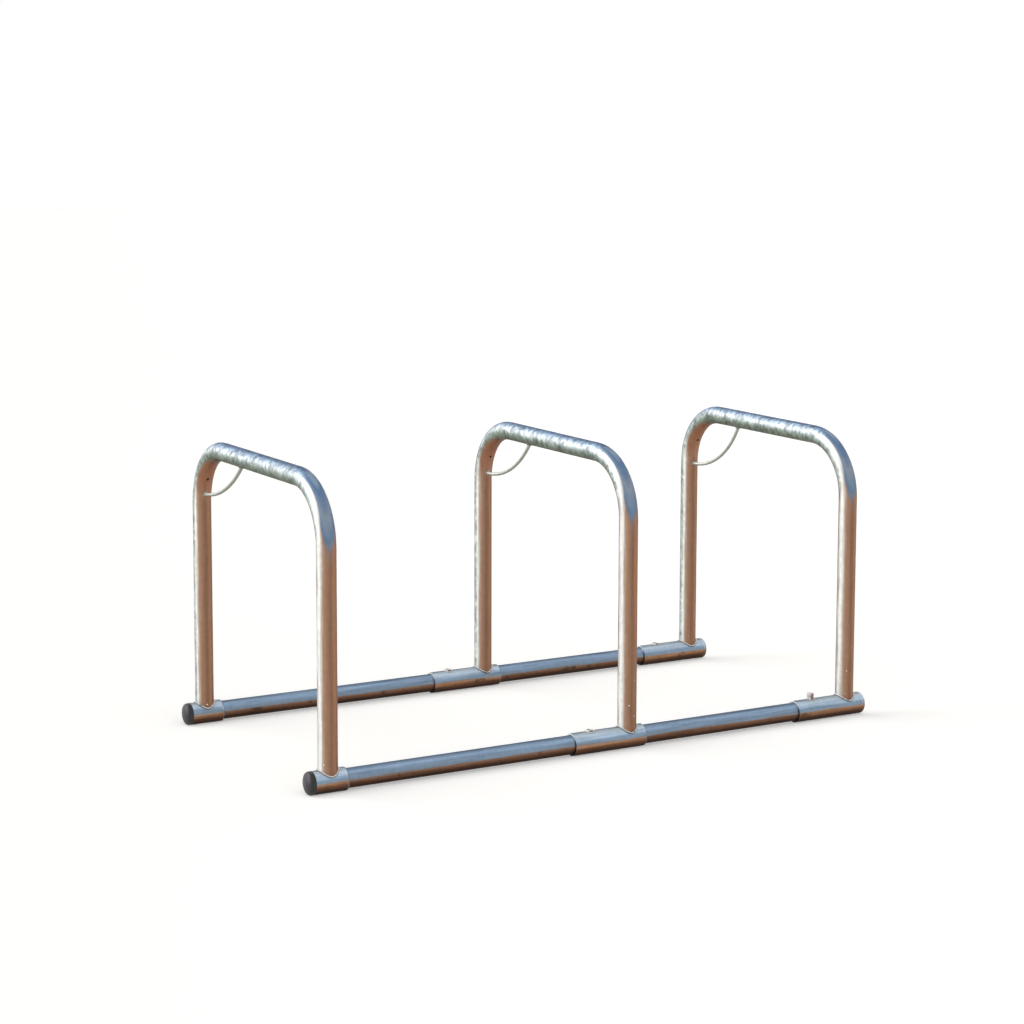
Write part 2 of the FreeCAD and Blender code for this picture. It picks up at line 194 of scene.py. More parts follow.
def facing_colours(tree, facing, colours):
    """Colours picked by a value from -1 to 1, given as (value, hex) pairs."""
    along = add(tree, "ShaderNodeMapRange", {"Value": facing, "From Min": -1.0, "From Max": 1.0})
    ramp = add(tree, "ShaderNodeValToRGB", {"Fac": along.outputs[0]})
    elements = ramp.color_ramp.elements
    while len(elements) < len(colours):
        elements.new(0.5)
    for element, (value, colour) in zip(elements, colours):
        element.position = value / 2 + 0.5
        element.color = linear(colour)
    return ramp.outputs["Color"]


def between(tree, value, low, high):
    """0 below low, 1 above high and smooth in between."""
    return add(tree, "ShaderNodeMapRange", {"Value": value, "From Min": low, "From Max": high},
               interpolation_type="SMOOTHSTEP").outputs[0]


def new_finish(name):
    """An empty material and its tree."""
    material = bpy.data.materials.new(name)
    material.use_nodes = True
    material.node_tree.nodes.clear()
    return material, material.node_tree


def spangle_pattern(tree, place, size):
    """Zinc crystals: one random value for each, with feathered edges."""
    wander = add(tree, "ShaderNodeTexNoise", {"Vector": place, "Scale": WANDER_WAVES / size,
                                              "Detail": 4.0})
    shift = add(tree, "ShaderNodeVectorMath", {0: wander.outputs["Color"], "Scale": WANDER * size},
                operation="SCALE")
    moved = add(tree, "ShaderNodeVectorMath", {0: place, 1: shift.outputs[0]}, operation="ADD")
    upright = add(tree, "ShaderNodeMapping",
                  {"Vector": moved.outputs[0], "Scale": (1.0, 1.0, CRYSTAL_SQUEEZE)})
    crystals = add(tree, "ShaderNodeTexVoronoi", {"Vector": upright.outputs[0], "Scale": 1 / size},
                   feature="SMOOTH_F1")
    return add(tree, "ShaderNodeSeparateColor", {"Color": crystals.outputs["Color"]}).outputs[0]


def zinc_surface(tree, colour, contrast, spangle, clouds, grain, metallic):
    """Finishes a zinc material: spangle and clouds vary its colour and gloss, grain its relief."""
    crystal = add(tree, "ShaderNodeMath", {0: spangle, 1: 0.5}, operation="SUBTRACT")
    cloud = add(tree, "ShaderNodeMath", {0: clouds, 1: 0.5}, operation="SUBTRACT")
    uneven = add(tree, "ShaderNodeMath", {0: crystal.outputs[0], 1: cloud.outputs[0]},
                 operation="ADD")
    scaled = add(tree, "ShaderNodeMath", {0: uneven.outputs[0], 1: contrast, 2: 1.0},
                 operation="MULTIPLY_ADD")
    tinted = add(tree, "ShaderNodeVectorMath", {0: colour, "Scale": scaled.outputs[0]},
                 operation="SCALE")
    gloss = add(tree, "ShaderNodeMath", {0: spangle, 1: clouds}, operation="ADD")
    roughness = add(tree, "ShaderNodeMapRange", {"Value": gloss.outputs[0], "From Max": 2.0,
                                                 "To Min": ZINC_ROUGHNESS[0],
                                                 "To Max": ZINC_ROUGHNESS[1]})
    height = add(tree, "ShaderNodeMath", {0: spangle, 1: grain}, operation="ADD")
    relief = add(tree, "ShaderNodeBump", {"Height": height.outputs[0], "Strength": ZINC_RELIEF,
                                          "Distance": RELIEF_DEPTH})
    skin = add(tree, "ShaderNodeBsdfPrincipled", {"Base Color": tinted.outputs[0],
                                                  "Metallic": metallic,
                                                  "Roughness": roughness.outputs[0],
                                                  "Specular Tint": linear(EDGE_TINT),
                                                  "Normal": relief.outputs[0]})
    add(tree, "ShaderNodeOutputMaterial", {"Surface": skin.outputs[0]})


def hoop_zinc():
    """Hot-dip galvanised tube, aged outdoors: semi-gloss and crystalline."""
    material, tree = new_finish("galvanised_hoop_tube")
    where = add(tree, "ShaderNodeTexCoord")
    place = where.outputs["Object"]
    spangle = spangle_pattern(tree, place, SPANGLE_SIZE)
    clouds = add(tree, "ShaderNodeTexNoise", {"Vector": place, "Scale": 1 / CLOUD_SIZE,
                                              "Detail": 6.0}).outputs["Fac"]
    grain = add(tree, "ShaderNodeTexNoise", {"Vector": place, "Scale": 1 / GRAIN_SIZE,
                                             "Detail": 3.0}).outputs["Fac"]
    drawn_down = add(tree, "ShaderNodeMapping",
                     {"Vector": place, "Scale": (1.0, 1.0, RUN_WIDTH / RUN_LENGTH)})
    runs = add(tree, "ShaderNodeTexNoise", {"Vector": drawn_down.outputs[0], "Scale": 1 / RUN_WIDTH,
                                            "Detail": 3.0}).outputs["Fac"]
    facing = add(tree, "ShaderNodeSeparateXYZ", {"Vector": where.outputs["Normal"]})
    spot = add(tree, "ShaderNodeSeparateXYZ", {"Vector": place})
    height = spot.outputs["Z"]
    unevenness = add(tree, "ShaderNodeMapRange", {"Value": clouds, "To Min": -CLOUD_SHIFT,
                                                  "To Max": CLOUD_SHIFT})
    upward = add(tree, "ShaderNodeMath", {0: facing.outputs["Z"], 1: unevenness.outputs[0]},
                 operation="ADD")

    # The bend's painted blue sky reflection ends in a tongue that reaches a little way down the
    # front leg.
    turned = add(tree, "ShaderNodeVectorMath", {0: where.outputs["Normal"], 1: LEG_TURN},
                 operation="DOT_PRODUCT").outputs["Value"]
    aside = add(tree, "ShaderNodeMath", {0: turned, 1: TONGUE_TURN}, operation="SUBTRACT")
    off_tongue = add(tree, "ShaderNodeMath", {0: aside.outputs[0], 1: aside.outputs[0]},
                     operation="MULTIPLY")
    rounded = add(tree, "ShaderNodeMath",
                  {0: off_tongue.outputs[0], 1: -TONGUE_NARROWING, 2: TONGUE_LIFT},
                  operation="MULTIPLY_ADD")
    narrowed = add(tree, "ShaderNodeMath", {0: rounded.outputs[0], 1: -TONGUE_LIFT},
                   operation="MAXIMUM")
    at_back = between(tree, spot.outputs["Y"], *BACK_LEG_FROM)
    in_front = add(tree, "ShaderNodeMath", {0: 1.0, 1: at_back}, operation="SUBTRACT")
    near_bend = add(tree, "ShaderNodeMath",
                    {0: between(tree, height, *TONGUE_HEIGHT), 1: in_front.outputs[0]},
                    operation="MULTIPLY")
    tongue = add(tree, "ShaderNodeMath", {0: narrowed.outputs[0], 1: near_bend.outputs[0]},
                 operation="MULTIPLY").outputs[0]
    slanted = add(tree, "ShaderNodeMath", {0: upward.outputs[0], 1: tongue}, operation="ADD")
    bend = facing_colours(tree, slanted.outputs[0], BEND_PAINTED_REFLECTIONS)

    # The top bar's painted reflection and highlight tones, with their strong spangle; the back
    # legs' sides have them too.
    bar = facing_colours(tree, upward.outputs[0], BAR_PAINTED_REFLECTIONS)
    along_bar = add(tree, "ShaderNodeMath", {0: facing.outputs["Y"]},
                    operation="ABSOLUTE").outputs[0]
    sideways = add(tree, "ShaderNodeMath", {0: 1.0, 1: between(tree, along_bar, *BAR_FACING)},
                   operation="SUBTRACT")
    high_up = between(tree, height, LEG_TO_BEND, BEND_TO_BAR)
    spangled = add(tree, "ShaderNodeMath", {0: at_back, 1: BACK_LEG_SPANGLE}, operation="MULTIPLY")
    where_spangled = add(tree, "ShaderNodeMath", {0: high_up, 1: spangled.outputs[0]},
                         operation="MAXIMUM")
    on_top = add(tree, "ShaderNodeMath", {0: where_spangled.outputs[0], 1: sideways.outputs[0]},
                 operation="MULTIPLY")

    # The upright part of a leg, where the painted highlight and reflection tones go round the tube,
    # and all three put together.
    runny = add(tree, "ShaderNodeMapRange",
                {"Value": runs, "To Min": -RUN_SHIFT, "To Max": RUN_SHIFT})
    around = add(tree, "ShaderNodeMath", {0: turned, 1: runny.outputs[0]}, operation="ADD")
    upright = facing_colours(tree, around.outputs[0], LEG_PAINTED_REFLECTIONS)
    sloping = add(tree, "ShaderNodeMath", {0: facing.outputs["Z"]}, operation="ABSOLUTE").outputs[0]
    bending = add(tree, "ShaderNodeMath", {0: sloping, 1: tongue}, operation="ADD").outputs[0]
    leg_tone = add(tree, "ShaderNodeMix", {0: between(tree, bending, *LEG_SLOPE), 6: upright,
                                           7: bend}, data_type="RGBA")
    tone = add(tree, "ShaderNodeMix", {0: on_top.outputs[0], 6: leg_tone.outputs[2], 7: bar},
               data_type="RGBA")

    # A painted highlight: a pale streak along the upper left side of each bend.
    streak_side = add(tree, "ShaderNodeVectorMath", {0: where.outputs["Normal"], 1: BEND_HIGHLIGHT_SIDE},
                      operation="DOT_PRODUCT")
    streak = between(tree, streak_side.outputs["Value"], *HIGHLIGHT_SPREAD)
    pale = add(tree, "ShaderNodeMath", {0: streak, 1: high_up}, operation="MULTIPLY")
    banded = add(tree, "ShaderNodeMix", {0: pale.outputs[0], 6: tone.outputs[2],
                                         7: linear(HIGHLIGHT_AND_SPATTER_ZINC)}, data_type="RGBA")

    # Weld spatter near the feet.
    specks = add(tree, "ShaderNodeTexVoronoi", {"Vector": place, "Scale": 1 / SPECK_PITCH})
    near_speck = add(tree, "ShaderNodeMath",
                     {0: 1.0, 1: between(tree, specks.outputs["Distance"], *SPECK_EDGE)},
                     operation="SUBTRACT")
    low_down = add(tree, "ShaderNodeMath", {0: 1.0, 1: between(tree, height, *SPECK_HEIGHT)},
                   operation="SUBTRACT")
    chosen = add(tree, "ShaderNodeSeparateColor", {"Color": specks.outputs["Color"]}).outputs[0]
    scattered = add(tree, "ShaderNodeMath",
                    {0: near_speck.outputs[0], 1: between(tree, chosen, *SPECK_CHOICE)},
                    operation="MULTIPLY")
    spatter = add(tree, "ShaderNodeMath", {0: scattered.outputs[0], 1: low_down.outputs[0]},
                  operation="MULTIPLY")
    colour = add(tree, "ShaderNodeMix", {0: spatter.outputs[0], 6: banded.outputs[2],
                                         7: linear(HIGHLIGHT_AND_SPATTER_ZINC)}, data_type="RGBA")

    contrast = add(tree, "ShaderNodeMapRange",
                   {"Value": on_top.outputs[0], "To Min": LEG_CONTRAST, "To Max": BAR_CONTRAST})
    both = add(tree, "ShaderNodeMix", {0: RUN_SHARE, 2: clouds, 3: runs}).outputs[0]
    zinc_surface(tree, colour.outputs[2], contrast.outputs[0], spangle, both, grain, TUBE_METALLIC)
    return material


def dress(material, *names):
    """Gives CAD nodes a material."""
    for name in names:
        mesh = nodes[name].data
        mesh.materials.clear()
        mesh.materials.append(material)


HOOPS = ("hoop_1", "hoop_2", "hoop_3")
HOOP_X = (-0.799, 0.085, 0.809)
TUBE_RADIUS = 0.0255
BEND_RADIUS = 0.160          # of the tube's axis, as are the width and the height
HALF_WIDTH = 0.3975
BAR_HEIGHT = 0.78015

hoop_finish = hoop_zinc()
for hoop in HOOPS:
    dress(hoop_finish, hoop + "_tube")


# ---------------------------------------------------------------------------------------------
# Weld beads at the feet: each leg is coped to its sleeve and welded all round.
# The bead lies in ripples, one for each pulse of the arc; its colour is painted by facing,
# a painted highlight on top and a painted reflection of the ground, brown, underneath.
# ---------------------------------------------------------------------------------------------

SLEEVE_RADIUS = 0.03015
RAIL_HEIGHT = 0.03015
FOOT_BEAD_RADIUS = 0.0029
FOOT_BEAD_OUT = 0.0016       # from the corner between leg and sleeve to the middle of the bead
FOOT_BEAD_UP = 0.0012
RIPPLE_PITCH = 0.0024
RIPPLE_FLATTENING = 0.7
RIPPLE_SIZES = (0.90, 1.08)  # the arc is moved by hand, so no two ripples are alike

# Painted light by facing: a pale painted highlight on top, a painted ground reflection, brown,
# underneath.
WELD_PAINTED_LIGHT = ((-1.0, "#4E3A2E"), (-0.35, "#6E5A4D"), (0.0, "#9C948D"), (0.35, "#D9DAD8"),
                (1.0, "#E9ECEE"))
SLAG_COLOUR = "#5B5049"
SLAG_SIZE = 0.012
SLAG_EDGE = (0.56, 0.72)
WELD_GRAIN_SIZE = 0.0012     # drawn coarser than it is
WELD_RELIEF = 0.25
WELD_ROUGHNESS = (0.40, 0.65)
WELD_METALLIC = 0.5


def weld_zinc():
    """Galvanised weld metal: a painted highlight above and a painted ground reflection, brown,
    below; rough, with patches of slag stain.
    """
    material, tree = new_finish("galvanised_weld_bead")
    where = add(tree, "ShaderNodeTexCoord")
    place = where.outputs["Object"]
    slag = add(tree, "ShaderNodeTexNoise", {"Vector": place, "Scale": 1 / SLAG_SIZE,
                                            "Detail": 5.0}).outputs["Fac"]
    grain = add(tree, "ShaderNodeTexNoise", {"Vector": place, "Scale": 1 / WELD_GRAIN_SIZE,
                                             "Detail": 2.0}).outputs["Fac"]
    up = add(tree, "ShaderNodeSeparateXYZ", {"Vector": where.outputs["Normal"]}).outputs["Z"]
    tone = facing_colours(tree, up, WELD_PAINTED_LIGHT)
    dirty = add(tree, "ShaderNodeMix", {0: between(tree, slag, *SLAG_EDGE), 6: tone,
                                        7: linear(SLAG_COLOUR)}, data_type="RGBA")
    relief = add(tree, "ShaderNodeBump", {"Height": grain, "Strength": WELD_RELIEF,
                                          "Distance": RELIEF_DEPTH})
    roughness = add(tree, "ShaderNodeMapRange", {"Value": grain, "To Min": WELD_ROUGHNESS[0],
                                                 "To Max": WELD_ROUGHNESS[1]})
    skin = add(tree, "ShaderNodeBsdfPrincipled", {"Base Color": dirty.outputs[2],
                                                  "Metallic": WELD_METALLIC,
                                                  "Roughness": roughness.outputs[0],
                                                  "Normal": relief.outputs[0]})
    add(tree, "ShaderNodeOutputMaterial", {"Surface": skin.outputs[0]})
    return material


def ripple_tree():
    """Geometry nodes that lay overlapping ripples of weld along a seam."""
    tree = bpy.data.node_groups.new("weld_ripples", "GeometryNodeTree")
    for name, kind in (("Seam", "NodeSocketGeometry"), ("Ripple pitch", "NodeSocketFloat"),
                       ("Bead radius", "NodeSocketFloat"), ("Flattening", "NodeSocketFloat"),
                       ("Seed", "NodeSocketInt"), ("Finish", "NodeSocketMaterial")):
        tree.interface.new_socket(name, in_out="INPUT", socket_type=kind)
    tree.interface.new_socket("Bead", in_out="OUTPUT", socket_type="NodeSocketGeometry")
    given = add(tree, "NodeGroupInput").outputs
    line = add(tree, "GeometryNodeMeshToCurve", {"Mesh": given["Seam"]})
    steps = add(tree, "GeometryNodeCurveToPoints", {"Curve": line.outputs[0],
                                                    "Length": given["Ripple pitch"]}, mode="LENGTH")
    ripple = add(tree, "GeometryNodeMeshIcoSphere", {"Radius": 1.0, "Subdivisions": 2})
    size = add(tree, "FunctionNodeRandomValue",
               {2: RIPPLE_SIZES[0], 3: RIPPLE_SIZES[1], "Seed": given["Seed"]}, data_type="FLOAT")
    radius = add(tree, "ShaderNodeMath", {0: size.outputs[1], 1: given["Bead radius"]},
                 operation="MULTIPLY")
    length = add(tree, "ShaderNodeMath", {0: radius.outputs[0], 1: given["Flattening"]},
                 operation="MULTIPLY")
    scale = add(tree, "ShaderNodeCombineXYZ", {"X": radius.outputs[0], "Y": radius.outputs[0],
                                               "Z": length.outputs[0]})
    laid = add(tree, "GeometryNodeInstanceOnPoints", {"Points": steps.outputs["Points"],
                                                      "Instance": ripple.outputs["Mesh"],
                                                      "Rotation": steps.outputs["Rotation"],
                                                      "Scale": scale.outputs[0]})
    solid = add(tree, "GeometryNodeRealizeInstances", {"Geometry": laid.outputs[0]})
    smooth = add(tree, "GeometryNodeSetShadeSmooth", {"Geometry": solid.outputs[0]})
    finished = add(tree, "GeometryNodeSetMaterial", {"Geometry": smooth.outputs[0],
                                                     "Material": given["Finish"]})
    add(tree, "NodeGroupOutput", {"Bead": finished.outputs[0]})
    return tree


weld_finish = weld_zinc()
weld_ripples = ripple_tree()


def lay_bead(name, seams, radius, finish, body, replaced, seed):
    """A rippled bead along closed seams, as one plain mesh that stands for the CAD weld."""
    points = [point for seam in seams for point in seam]
    edges = []
    first = 0
    for seam in seams:
        edges += [(first + i, first + (i + 1) % len(seam)) for i in range(len(seam))]
        first += len(seam)
    seam_mesh = bpy.data.meshes.new(name + "_seam")
    seam_mesh.from_pydata(points, edges, [])
    holder = bpy.data.objects.new(name + "_seam", seam_mesh)
    bpy.context.scene.collection.objects.link(holder)
    modifier = holder.modifiers.new("ripples", "NODES")
    modifier.node_group = weld_ripples
    values = {"Ripple pitch": RIPPLE_PITCH, "Bead radius": radius, "Flattening": RIPPLE_FLATTENING,
              "Seed": seed, "Finish": finish}
    for item in weld_ripples.interface.items_tree:
        if item.item_type == "SOCKET" and item.in_out == "INPUT" and item.name in values:
            modifier[item.identifier] = values[item.name]
    graph = bpy.context.evaluated_depsgraph_get()
    mesh = bpy.data.meshes.new_from_object(holder.evaluated_get(graph))
    bpy.data.objects.remove(holder)
    bead = bpy.data.objects.new(name, mesh)
    bpy.context.scene.collection.objects.link(bead)
    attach(bead, body)
    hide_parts(replaced)


def foot_seam(x, y, ripples=72):
    """The line where a leg meets its sleeve, moved out to the middle of the bead."""
    reach = TUBE_RADIUS + FOOT_BEAD_OUT
    seam = []
    for i in range(ripples):
        angle = 2 * math.pi * i / ripples
        across = reach * math.sin(angle)
        rise = math.sqrt((SLEEVE_RADIUS + FOOT_BEAD_UP) ** 2 - across ** 2)
        seam.append((x + reach * math.cos(angle), y + across, RAIL_HEIGHT + rise))
    return seam


for number, (hoop, x) in enumerate(zip(HOOPS, HOOP_X), start=1):
    lay_bead(hoop + "_foot_beads", [foot_seam(x, -HALF_WIDTH), foot_seam(x, HALF_WIDTH)],
             FOOT_BEAD_RADIUS, weld_finish, hoop + "_module", hoop + "_leg_welds", number)


# ---------------------------------------------------------------------------------------------
# Lock rods: 10 mm round steel bar, bent by hand, welded across the back top corner of each hoop
# so that a lock can't slide down the leg.  Galvanised with the hoop, so its zinc is the same.
# ---------------------------------------------------------------------------------------------

ROD_BEAD_RADIUS = 0.0020
ROD_BEAD_RING = 0.0060       # rod centre to the middle of its bead
ROD_BEAD_OUT = 0.0008        # from the tube's surface to the middle of the bead
ROD_BEAD_SEED = 11
SEAM_SEARCH = (-0.02, 0.03)  # the seam is looked for this far either side of the rod's end
SEAM_STEPS = 30
ROD_BAR_REACH = (0.277, 0.271, 0.258)
ROD_LEG_DROP = (0.1335, 0.1395, 0.1635)
ROD_BEND_RADIUS = (0.400, 0.310, 0.265)

ROD_METALLIC = 0.55
ROD_CONTRAST = 0.3
ROD_SPANGLE_SIZE = 0.005
ROD_CLOUD_SIZE = 0.02
# Painted light by facing: a pale painted highlight on top, painted shade, greyer, underneath.
ROD_PAINTED_LIGHT = ((-1.0, "#8C9184"), (-0.4, "#A3A99C"), (0.0, "#C9CDC6"), (0.4, "#EEEEEA"),
               (1.0, "#E3E6E6"))


def rod_zinc():
    """Galvanised round bar: a pale painted highlight on top, painted shade, greyer, underneath."""
    material, tree = new_finish("galvanised_lock_rod")
    where = add(tree, "ShaderNodeTexCoord")
    place = where.outputs["Object"]
    spangle = spangle_pattern(tree, place, ROD_SPANGLE_SIZE)
    clouds = add(tree, "ShaderNodeTexNoise", {"Vector": place, "Scale": 1 / ROD_CLOUD_SIZE,
                                              "Detail": 4.0}).outputs["Fac"]
    grain = add(tree, "ShaderNodeTexNoise", {"Vector": place, "Scale": 1 / GRAIN_SIZE,
                                             "Detail": 3.0}).outputs["Fac"]
    up = add(tree, "ShaderNodeSeparateXYZ", {"Vector": where.outputs["Normal"]}).outputs["Z"]
    colour = facing_colours(tree, up, ROD_PAINTED_LIGHT)
    zinc_surface(tree, colour, ROD_CONTRAST, spangle, clouds, grain, ROD_METALLIC)
    return material


def hoop_gap(point, x):
    """How far a point is from the surface of a hoop's tube, near its back top corner."""
    y = point[1]
    z = point[2]
    bend_y = HALF_WIDTH - BEND_RADIUS
    bend_z = BAR_HEIGHT - BEND_RADIUS
    if y > bend_y and z > bend_z:
        in_plane = math.hypot(y - bend_y, z - bend_z) - BEND_RADIUS
    elif z > bend_z:
        in_plane = z - BAR_HEIGHT
    else:
        in_plane = y - HALF_WIDTH
    return math.hypot(point[0] - x, in_plane) - TUBE_RADIUS


def rod_seam(x, end, inwards, ripples=28):
    """The line where a rod's end meets the tube; inwards points from there along the rod."""
    side = Vector((1, 0, 0))
    other = inwards.cross(side).normalized()
    seam = []
    for i in range(ripples):
        angle = 2 * math.pi * i / ripples
        spoke = side * math.cos(angle) + other * math.sin(angle)
        start = end + spoke * ROD_BEAD_RING
        near, far = SEAM_SEARCH
        for _ in range(SEAM_STEPS):
            middle = (near + far) / 2
            if hoop_gap(start + inwards * middle, x) > ROD_BEAD_OUT:
                far = middle
            else:
                near = middle
        seam.append(tuple(start + inwards * far))
    return seam


rod_finish = rod_zinc()
for number, (hoop, x) in enumerate(zip(HOOPS, HOOP_X)):
    dress(rod_finish, hoop + "_lock_rod")
    bar_end = Vector((x, HALF_WIDTH - ROD_BAR_REACH[number], BAR_HEIGHT - TUBE_RADIUS))
    leg_end = Vector((x, HALF_WIDTH - TUBE_RADIUS, BAR_HEIGHT - ROD_LEG_DROP[number]))
    chord = leg_end - bar_end
    to_corner = Vector((0, -chord.z, chord.y)).normalized()
    rise = math.sqrt(ROD_BEND_RADIUS[number] ** 2 - (chord.length / 2) ** 2)
    centre = (bar_end + leg_end) / 2 + to_corner * rise
    seams = []
    for end, way in ((bar_end, chord), (leg_end, -chord)):
        spoke = (end - centre).normalized()
        inwards = (way - spoke * way.dot(spoke)).normalized()
        seams.append(rod_seam(x, end, inwards))
    lay_bead(hoop + "_rod_beads", seams, ROD_BEAD_RADIUS, weld_finish, hoop + "_module",
             hoop + "_lock_rod_welds", number + ROD_BEAD_SEED)


# ---------------------------------------------------------------------------------------------
# Sleeves and rails: thick sleeves under the legs, and the tubes that run from each sleeve into
# the next one.  The same zinc, near the ground, its colour painted by facing: a painted sky
# reflection, blue-grey, above the middle with streaks along the tube, and below it a painted
# ground reflection, brown, sharply bounded, that darkens to painted shade underneath.
# ---------------------------------------------------------------------------------------------

# Painted reflections by facing, for rails and sleeves: sky blue-grey above the middle, ground brown
# below, darkening to painted shade at the underside.
RAIL_PAINTED_REFLECTIONS = ((-1.0, "#1E110A"), (-0.81, "#2E1B11"), (-0.55, "#4A2E1E"), (-0.30, "#6B4A38"),
                (-0.04, "#85624E"), (0.03, "#85705F"), (0.11, "#7C8C9C"), (0.36, "#7F92A6"),
                (0.60, "#889FBA"), (0.80, "#97AFC9"), (0.94, "#768BA3"), (1.0, "#526378"))
SLEEVE_PAINTED_REFLECTIONS = ((-1.0, "#1C0F08"), (-0.81, "#2F1D12"), (-0.55, "#583A29"), (-0.30, "#7A563F"),
                  (-0.04, "#A87C5C"), (0.03, "#A0846E"), (0.11, "#84919D"), (0.36, "#89A1B9"),
                  (0.60, "#AFC4D8"), (0.80, "#C8DAEA"), (0.94, "#B4C2CE"), (1.0, "#828C97"))
STREAK_LENGTH = 0.15
STREAK_WIDTH = 0.006
STREAK_SHIFT = 0.16          # how far the streaks move the tones up and down the tube
STREAK_SPANGLE_SHARE = 0.72  # of the streaks, where they are mixed with the crystals
STREAK_CLOUD_SHARE = 0.85    # and with the clouds
BASE_CLOUD_SIZE = 0.035
BASE_CONTRAST = 0.50

MUD_COLOUR = "#4E3B2D"
MUD_EDGE = (0.56, 0.72)      # thicker clouds than this are patches of mud
MUD_BELOW = (-0.1, 0.15)     # they end where a face turns up by this much

# A painted highlight on the tubes' cut ends, and painted shade in the sockets' mouths below their
# tops.
CUT_END_HIGHLIGHT = "#F2F3F2"
CUT_END_TURN = (0.55, 0.85)  # faces that turn this far along the tube are its cut ends
MOUTH_SHADE_COLOUR = "#34363B"     # painted shade in the mouths of the sockets, below their painted highlight
MOUTH_SHADE_TURN = (-0.5, 0.5)     # the sockets' mouths are the ends that face -X
END_HIGHLIGHT_HEIGHT = (0.040, 0.054)  # the ends carry the painted highlight above these heights


def base_zinc(name, colours):
    """Galvanised tube at ground level: painted sky reflection above, painted ground reflection and
    shade below, a painted highlight on the cut ends and painted shade in the socket mouths.
    """
    material, tree = new_finish(name)
    where = add(tree, "ShaderNodeTexCoord")
    place = where.outputs["Object"]
    spangle = spangle_pattern(tree, place, SPANGLE_SIZE)
    drawn_out = add(tree, "ShaderNodeMapping", {"Vector": place,
                                                "Scale": (STREAK_WIDTH / STREAK_LENGTH, 1.0, 1.0)})
    streaks = add(tree, "ShaderNodeTexNoise", {"Vector": drawn_out.outputs[0],
                                               "Scale": 1 / STREAK_WIDTH,
                                               "Detail": 3.0}).outputs["Fac"]
    clouds = add(tree, "ShaderNodeTexNoise", {"Vector": place, "Scale": 1 / BASE_CLOUD_SIZE,
                                              "Detail": 6.0}).outputs["Fac"]
    grain = add(tree, "ShaderNodeTexNoise", {"Vector": place, "Scale": 1 / GRAIN_SIZE,
                                             "Detail": 3.0}).outputs["Fac"]
    facing = add(tree, "ShaderNodeSeparateXYZ", {"Vector": where.outputs["Normal"]})
    waver = add(tree, "ShaderNodeMapRange",
                {"Value": streaks, "To Min": -STREAK_SHIFT, "To Max": STREAK_SHIFT})
    upward = add(tree, "ShaderNodeMath", {0: facing.outputs["Z"], 1: waver.outputs[0]},
                 operation="ADD")
    banded = facing_colours(tree, upward.outputs[0], colours)
    below = add(tree, "ShaderNodeMath", {0: 1.0, 1: between(tree, facing.outputs["Z"], *MUD_BELOW)},
                operation="SUBTRACT")
    mud = add(tree, "ShaderNodeMath", {0: between(tree, clouds, *MUD_EDGE), 1: below.outputs[0]},
              operation="MULTIPLY")
    tone = add(tree, "ShaderNodeMix", {0: mud.outputs[0], 6: banded, 7: linear(MUD_COLOUR)},
               data_type="RGBA").outputs[2]
    across = add(tree, "ShaderNodeMath", {0: facing.outputs["X"]}, operation="ABSOLUTE").outputs[0]
    cut_end = between(tree, across, *CUT_END_TURN)
    height = add(tree, "ShaderNodeSeparateXYZ", {"Vector": place}).outputs["Z"]
    highlit_end = add(tree, "ShaderNodeMath", {0: between(tree, height, *END_HIGHLIGHT_HEIGHT),
                                             1: between(tree, facing.outputs["X"], *MOUTH_SHADE_TURN)},
                    operation="MAXIMUM")
    rim = add(tree, "ShaderNodeMix", {0: highlit_end.outputs[0], 6: linear(MOUTH_SHADE_COLOUR),
                                      7: linear(CUT_END_HIGHLIGHT)}, data_type="RGBA")
    ended = add(tree, "ShaderNodeMix", {0: cut_end, 6: tone, 7: rim.outputs[2]}, data_type="RGBA")
    faint = add(tree, "ShaderNodeMix", {0: STREAK_SPANGLE_SHARE, 2: spangle, 3: streaks}).outputs[0]
    both = add(tree, "ShaderNodeMix", {0: STREAK_CLOUD_SHARE, 2: clouds, 3: streaks}).outputs[0]
    zinc_surface(tree, ended.outputs[2], BASE_CONTRAST, faint, both, grain, TUBE_METALLIC)
    return material


rail_finish = base_zinc("galvanised_rail_tube", RAIL_PAINTED_REFLECTIONS)
sleeve_finish = base_zinc("galvanised_sleeve", SLEEVE_PAINTED_REFLECTIONS)
for name in nodes:
    if name.endswith("_rail"):
        dress(rail_finish, name)
    if name.endswith("_sleeve"):
        dress(sleeve_finish, name)

# Each rail tube is welded into the sleeve that it starts from, with a ring of bead at its mouth.
SLEEVE_SHORT_SIDE = 0.044
RING_BEAD_RADIUS = 0.0026
RING_BEAD_OUT = 0.0019       # from the rail's surface and the sleeve's mouth to the bead's middle
RING_BEAD_AHEAD = 0.0012
RING_BEAD_SEED = 21
RING_CONTRAST = 0.4
# Painted glints on the ring beads.
GLINT_SIZE = 0.018
GLINT_EDGE = (0.62, 0.74)
GLINT_COLOUR = "#C3CBD2"


